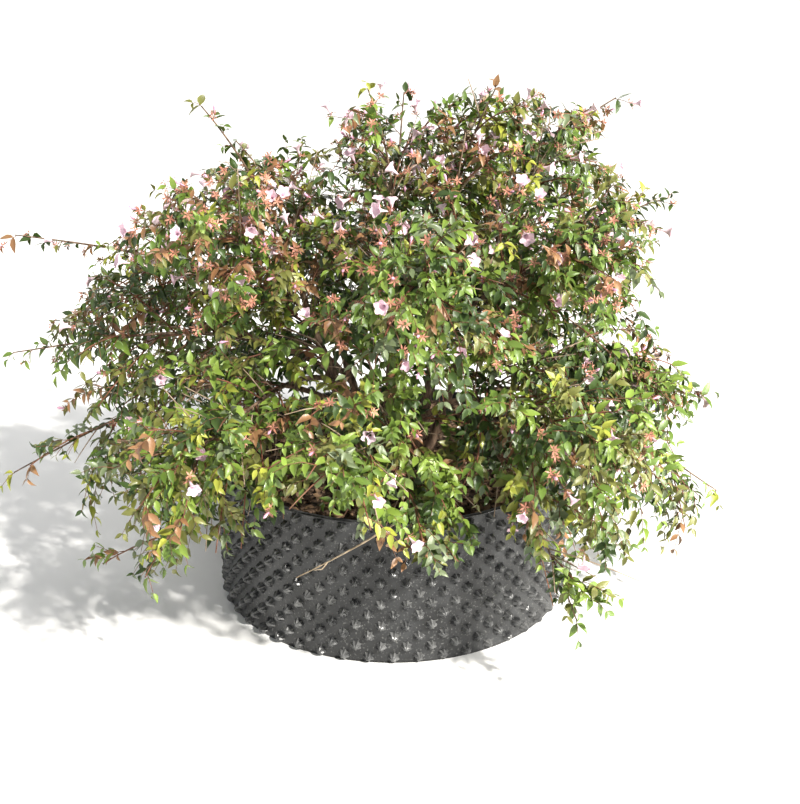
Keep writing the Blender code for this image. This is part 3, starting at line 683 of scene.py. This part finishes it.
look = flowering
rng = np.random.default_rng(growthSeed + 99)
tips = np.concatenate([mass["fine"][:, -1] for mass in grown.values()])
ends = np.concatenate([unit(mass["fine"][:, -1] - mass["fine"][:, -2]) for mass in grown.values()])
weight = np.concatenate([
    np.full(len(mass["fine"]), look["leastWeight"] + look["massWeight"] * shoots[name]["blossoms"])
    for name, mass in grown.items()])
weight = weight * np.clip(tips[:, 2] * look["rise"] - look["riseFrom"], *look["riseLimits"])
topLeft = (tips[:, 0] < look["leftOf"]) & (tips[:, 2] > look["above"])
weight = weight * np.where(topLeft, look["topLeftGain"], 1.0)
outer = np.linalg.norm((tips - heart) / look["crownSize"], axis=1) > look["outer"]
draw = rng.uniform(size=len(tips)) / np.maximum(weight, look["smallestWeight"])
lean = ends * look["alongTwig"] + unit(tips - heart) * look["outward"]
headings = unit(lean + rng.normal(0, look["scatter"], tips.shape))
normals = unit(up + rng.normal(0, look["roll"], tips.shape) + look["nudge"])
opened = outer & (draw < look["openShare"]) & tipRoom(tips, headings, look["openRoom"])
budding = outer & ~opened & (draw < look["openShare"] + look["budShare"])
budding = budding & tipRoom(tips, headings, look["budRoom"])
withCalyx = opened | budding | (outer & (draw < look["calyxShare"]))

template, faces = funnelTemplate()
scale = rng.uniform(*look["sizes"], len(tips))
points, faces = spread(template, [faces], tips[opened], headings[opened], normals[opened],
                       scale[opened])
addPiece("blossoms", points, faces, [petalFinish])

budLine = bud["length"] * np.linspace(0, 1, len(bud["radii"]))
budPaths = tips[budding][:, None] + headings[budding][:, None] * budLine[None, :, None]
budRadii = np.broadcast_to(np.array(bud["radii"]), budPaths.shape[:2])
points, quads, caps = tubes(budPaths, budRadii, bud["sides"])
addPiece("buds", points, [quads, caps], [budFinish])

template, faces = starTemplate()
starRoots, starHeadings = [], []
for star in range(calyx["stars"]):
    # the first star sits on the twig's end, and the others a little way off it
    lean = rng.normal(0, calyx["scatter"], tips.shape)
    starRoots.append(tips[withCalyx] + unit(lean)[withCalyx] * calyx["apart"] * (star > 0))
    starHeadings.append(unit(headings + lean * calyx["turnOut"])[withCalyx])
starRoots, starHeadings = np.concatenate(starRoots), np.concatenate(starHeadings)
keep = tipRoom(starRoots, starHeadings, calyx["room"])
starNormals = unit(rng.normal(0, 1, (keep.sum(), 3)))
points, faces = spread(template, [faces], starRoots[keep], starHeadings[keep], starNormals,
                       np.ones(keep.sum()))
addPiece("calyces", points, faces, [calyxFinish], smooth=False)
print("blossoms:", int(opened.sum()), "buds:", int(budding.sum()), "calyces:", int(keep.sum()))

# The pot: a sheet wall covered in pleated cones

potSheet = {"around": 184, "rows": 29, "skin": 0.0005, "rimDrop": 0.003, "rimShoulder": 0.001,
            "rimRoll": 0.0015, "rimRise": 0.0006, "innerStep": 0.14}
potCone = {"height": 0.0122, "around": 46, "rows": 13, "edgeBand": 0.012, "radius": 0.0118, "pleats": 7,
           "pleatDepth": 0.30, "sunk": 0.0012, "tilt": 0.05, "roll": 0.35,
           "rings": ((1.0, 0.0), (0.80, 0.40), (0.52, 0.78), (0.20, 0.97))}


def potWall():
    # a profile turned round the axis: outside, rolled rim, inside and back to the foot
    outer = pot["radius"] - potSheet["skin"]
    inner = outer - pot["wall"]
    shoulder = pot["height"] - potSheet["rimShoulder"]
    crest = pot["height"] + potSheet["rimRise"]
    outside = [(outer, z) for z in np.linspace(0, pot["height"] - potSheet["rimDrop"], potSheet["rows"])]
    rim = [(outer + potSheet["rimRoll"], shoulder), (outer, crest),
           (inner + potSheet["rimShoulder"], crest), (inner, shoulder)]
    profile = np.array(outside + rim + [(inner, potSheet["innerStep"]), (inner, 0.0)])
    turn = np.linspace(0, fullTurn, potSheet["around"], endpoint=False)
    points = np.stack([profile[:, :1] * np.cos(turn), profile[:, :1] * np.sin(turn),
                       np.repeat(profile[:, 1:], len(turn), 1)], -1)
    return points.reshape(-1, 3), gridFaces(len(profile), len(turn), closedRows=True)


def coneTemplate():
    # rings of a blunt cone whose reach swings in and out as pleats, closed by its tip
    turn = np.linspace(0, fullTurn, 2 * potCone["pleats"], endpoint=False)
    swing = 1 - potCone["pleatDepth"] * (np.arange(len(turn)) % 2)
    rings = []
    for share, rise in potCone["rings"]:
        reach = potCone["radius"] * share * swing
        rings.append(np.stack([np.full(len(turn), potCone["height"] * rise - potCone["sunk"]),
                               reach * np.cos(turn), reach * np.sin(turn)], 1))
    points = np.concatenate(rings + [np.array([[potCone["height"] - potCone["sunk"], 0.0, 0.0]])])
    last = (len(rings) - 1) * len(turn)
    corner = np.arange(len(turn))
    following = (corner + 1) % len(turn)
    tip = np.stack([last + corner, last + following, np.full(len(turn), len(points) - 1)], 1)
    return points, [gridFaces(len(rings), len(turn)), tip]


def conePlaces():
    # straight rows, every other one shifted by half a step round the pot
    pitch = (pot["height"] - 2 * potCone["edgeBand"]) / (potCone["rows"] - 1)
    row, column = np.meshgrid(np.arange(potCone["rows"]), np.arange(potCone["around"]), indexing="ij")
    turn = ((column + np.where(row % 2 == 0, 0.5, 0.0)) * fullTurn / potCone["around"]).ravel()
    outward = np.stack([np.cos(turn), np.sin(turn), np.zeros(turn.size)], 1)
    heights = potCone["edgeBand"] + pitch * row.ravel()
    return outward * pot["radius"] + up * heights[:, None], outward


potFinish = makeFinish("dusty_black_plastic", ((0.005, 0.0053, 0.0057), (0.036, 0.0375, 0.039)), 0.36,
                       grain=14, bump=0.0006, bumpGrain=330, contrast=1.1, detail=9,
                       specks=(0.125, 0.125, 0.12))
# the cones are the same black plastic as the sheet, given a lighter colour as a painted highlight on their
# ribs
conePaintedHighlightFinish = makeFinish("cone_plastic_painted_highlight", ((0.022, 0.023, 0.0245), (0.140, 0.141, 0.140)), 0.27,
                        grain=60, bump=0.0002, contrast=1.2)
points, quads = potWall()
addPiece("pot_sheet", points, [quads], [potFinish], ["pot_wall"])
rng = np.random.default_rng(growthSeed + 5)
centres, outward = conePlaces()
template, faces = coneTemplate()
tilted = unit(outward + rng.normal(0, potCone["tilt"], outward.shape))
rolled = unit(up + rng.normal(0, potCone["roll"], outward.shape) * level)
points, faces = spread(template, faces, centres, tilted, rolled, np.ones(len(centres)))
points[:, 2] = np.clip(points[:, 2], 0.0, pot["height"])
addPiece("pot_cones", points, faces, [conePaintedHighlightFinish], smooth=False)
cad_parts["pot_base"].data.materials.clear()
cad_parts["pot_base"].data.materials.append(potFinish)
print("pot made")

# Compost with chips and litter, the old cane and a fallen dead twig

compost = {"rings": 60, "around": 220, "lump": 0.00175, "foot": 0.0103, "middleShare": 0.0008,
           "waves": ((61, 1, 47), (113, 2, 131), (227, 3, 201))}
litter = {"count": 900, "lie": 0.18, "roll": 0.25, "sizes": (0.018, 0.034), "over": 0.0004}
chips = {"count": 1400, "lie": 0.30, "roll": 0.30, "sizes": (0.005, 0.014), "half": (0.5, 0.25),
         "under": -0.12, "top": 0.16}
scatterLook = {"wallGap": 0.016, "over": 0.0015}
compostFinish = makeFinish("moist_bark_compost", ((0.022, 0.012, 0.007), (0.085, 0.050, 0.028)), 0.95,
                           grain=120, bump=0.003, bumpGrain=260, contrast=1.4)
litterFinish = makeFinish("fallen_leaf", ((0.150, 0.085, 0.040), (0.290, 0.190, 0.110)), 0.80, grain=70)
chipFinish = makeFinish("bark_chip", ((0.070, 0.040, 0.024), (0.200, 0.130, 0.085)), 0.88, grain=90)
caneFinish = makeFinish("dry_cane_wood", ((0.330, 0.240, 0.150), (0.560, 0.450, 0.320)), 0.85, grain=60,
                        bump=0.0008, stretch=(1.0, 1.0, 0.2), contrast=1.5)


def compostHeight(x, y):
    # the mound's slope from edge to top, plus lumps as a sum of sin(a x + b) sin(c y + 2 b)
    inner = pot["radius"] - pot["wall"]
    share = np.clip((inner - np.hypot(x, y)) / (inner - pot["flatRadius"]), 0, 1)
    lumps = sum(np.sin(x * a + b) * np.sin(y * c + b * 2) for a, b, c in compost["waves"])
    mound = (pot["compostTop"] - pot["compostEdge"]) * share
    return pot["compostEdge"] + mound + compost["lump"] * lumps


def scatter(count, rng):
    # places spread evenly over the compost: reach by the root of a draw, compass by another
    reach = (pot["radius"] - pot["wall"] - scatterLook["wallGap"]) * np.sqrt(rng.uniform(size=count))
    turn = rng.uniform(0, fullTurn, count)
    x, y = reach * np.cos(turn), reach * np.sin(turn)
    return np.stack([x, y, compostHeight(x, y) + scatterLook["over"]], 1)


# rings from the middle out to the wall, then one at the foot, closed by a face at each end
outermost = pot["radius"] - pot["wall"] - wood["gap"]
reach = outermost * np.sqrt(np.linspace(compost["middleShare"], 1, compost["rings"]))
turn = np.linspace(0, fullTurn, compost["around"], endpoint=False)
ringReach, ringTurn = np.meshgrid(reach, turn, indexing="ij")
x, y = ringReach * np.cos(ringTurn), ringReach * np.sin(ringTurn)
top = np.stack([x, y, compostHeight(x, y)], -1)
foot = top[-1].copy()
foot[:, 2] = compost["foot"]
quads = gridFaces(compost["rings"] + 1, compost["around"])[:, ::-1]
corner = np.arange(compost["around"])
ends = np.stack([corner, compost["rings"] * compost["around"] + corner[::-1]])
addPiece("compost_fill", np.concatenate([top.reshape(-1, 3), foot]), [quads, ends], [compostFinish],
         ["compost"])

rng = np.random.default_rng(growthSeed + 7)
spots = scatter(litter["count"], rng)
headings = unit(rng.normal(0, 1, spots.shape) * (1, 1, litter["lie"]))
normals = unit(up + rng.normal(0, litter["roll"], spots.shape))
points, faces = spread(leafTemplates[-1], [leafTris, leafQuads], spots, headings, normals,
                       rng.uniform(*litter["sizes"], len(spots)))
points[:, 2] = np.maximum(points[:, 2], compostHeight(points[:, 0], points[:, 1]) + litter["over"])
addPiece("leaf_litter", points, faces, [litterFinish])

spots = scatter(chips["count"], rng)
headings = unit(rng.normal(0, 1, spots.shape) * (1, 1, chips["lie"]))
normals = unit(up + rng.normal(0, chips["roll"], spots.shape))
halfLength, halfWidth = chips["half"]
chip = np.array([[x, y, z] for x in (-halfLength, halfLength) for y in (-halfWidth, halfWidth)
                 for z in (chips["under"], chips["top"])])
chipFaces = np.array([(0, 1, 3, 2), (4, 6, 7, 5), (0, 4, 5, 1), (2, 3, 7, 6), (0, 2, 6, 4), (1, 5, 7, 3)])
points, faces = spread(chip, [chipFaces], spots, headings, normals,
                       rng.uniform(*chips["sizes"], len(spots)))
addPiece("bark_chips", points, faces, [chipFinish], smooth=False)

cane = {"foot": (0.018, 0.006, 0.264), "top": (0.168, 0.010, 0.965), "radii": (0.0075, 0.0048),
        "bow": (-0.05, 0.0, 0.015), "steps": 60, "sides": 12}
shares = np.linspace(0, 1, cane["steps"])[:, None]
caneFoot, caneTop = np.array(cane["foot"]), np.array(cane["top"])
canePath = caneFoot + (caneTop - caneFoot) * shares + np.sin(math.pi * shares) * np.array(cane["bow"])
caneRadii = np.linspace(*cane["radii"], cane["steps"])
points, quads, caps = tubes([canePath], [caneRadii], cane["sides"], barkRelief)
addPiece("old_cane", points, [quads, caps], [caneFinish], ["bare_cane"])

# The dead twig comes over the rim and lies down the front of the wall, with one short spur.
deadTwig = {"main": ((0.020, -0.285, 0.262), (0.010, -0.335, 0.2875), (-0.010, -0.352, 0.281),
                     (-0.060, -0.356, 0.250), (-0.115, -0.358, 0.218), (-0.170, -0.352, 0.185)),
            "spur": ((-0.115, -0.358, 0.218), (-0.124, -0.362, 0.207), (-0.138, -0.364, 0.206)),
            "mainRadii": (0.0026, 0.0010), "spurRadii": (0.0014, 0.0006), "steps": 40, "sides": 8}


def smoothPath(corners, steps):
    # straight stretches between the corners, rounded by a running mean of the points
    corners = np.array(corners)
    along = np.linspace(0, len(corners) - 1, steps)
    path = np.stack([np.interp(along, np.arange(len(corners)), corners[:, axis]) for axis in range(3)], 1)
    inner = (path[:-2] + path[1:-1] * 2 + path[2:]) / 4
    return np.concatenate([path[:1], inner, path[-1:]])


paths = [smoothPath(deadTwig[branch], deadTwig["steps"]) for branch in ("main", "spur")]
radii = [np.linspace(*deadTwig[branch + "Radii"], deadTwig["steps"]) for branch in ("main", "spur")]
points, quads, caps = tubes(paths, radii, deadTwig["sides"], barkRelief)
addPiece("dead_twig", points, [quads, caps], [caneFinish])
print("compost, cane and litter made")

# Floor, light and camera

stage = {"floor": 120.0, "floorColour": (0.86, 0.86, 0.855), "floorRoughness": 0.9,
         "world": 0.44, "worldColour": (0.97, 0.985, 1.0)}
half = stage["floor"] / 2
mesh = bpy.data.meshes.new("floor")
corners = [(-half, -half, 0), (half, -half, 0), (half, half, 0), (-half, half, 0)]
mesh.from_pydata(corners, [], [(0, 1, 2, 3)])
floor = bpy.data.objects.new("floor", mesh)
bpy.context.scene.collection.objects.link(floor)
floorFinish = bpy.data.materials.new("pale_floor")
floorFinish.use_nodes = True
floorShader = floorFinish.node_tree.nodes["Principled BSDF"]
floorShader.inputs["Base Color"].default_value = (*stage["floorColour"], 1.0)
floorShader.inputs["Roughness"].default_value = stage["floorRoughness"]
mesh.materials.append(floorFinish)

world = bpy.data.worlds.new("studio")
world.use_nodes = True
background = world.node_tree.nodes["Background"]
background.inputs["Color"].default_value = (*stage["worldColour"], 1.0)
background.inputs["Strength"].default_value = stage["world"]
bpy.context.scene.world = world

# Each lamp's kind, place, size, power and colour: the key is a far one, whose size is its angle in
# radians, and the others are soft panels, whose size is their side in metres.
lamps = {
    "key": ("SUN", (2.2, -2.5, 3.3), 0.035, 6.0, (1.0, 0.965, 0.90)),
    "low": ("AREA", (2.9, -1.5, 1.0), 0.22, 120.0, (1.0, 0.97, 0.92)),
    "fill": ("AREA", (-2.6, -2.2, 2.0), 2.4, 14.0, (0.92, 0.96, 1.0)),
    "rim": ("AREA", (-0.6, 2.6, 2.6), 1.6, 50.0, (1.0, 0.98, 0.95)),
}
lampAim = np.array([0.0, 0.0, 0.5])
for name, (kind, place, size, power, colour) in lamps.items():
    lamp = bpy.data.lights.new(name, kind)
    lamp.energy, lamp.color = power, colour
    if kind == "SUN":
        lamp.angle = size
    else:
        lamp.size = size
    holder = bpy.data.objects.new(name, lamp)
    bpy.context.scene.collection.objects.link(holder)
    holder.location = place
    toward = lampAim - np.array(place)
    yaw = math.atan2(toward[0], -toward[1])
    pitch = math.atan2(math.hypot(toward[0], toward[1]), -toward[2])
    holder.rotation_euler = (pitch, 0.0, math.pi + yaw)

cameraData = bpy.data.cameras.new("camera")
cameraData.sensor_width, cameraData.sensor_height = view["sensor"], view["sensor"]
cameraData.sensor_fit = "AUTO"
cameraData.lens = view["lens"]
camera = bpy.data.objects.new("camera", cameraData)
camera.location = view["place"]
camera.rotation_euler = (math.radians(90 - view["down"]), 0.0, math.radians(view["turn"]))
bpy.context.scene.collection.objects.link(camera)
bpy.context.scene.camera = camera
bpy.context.scene.view_settings.view_transform = "Standard"
print("floor, light and camera made")
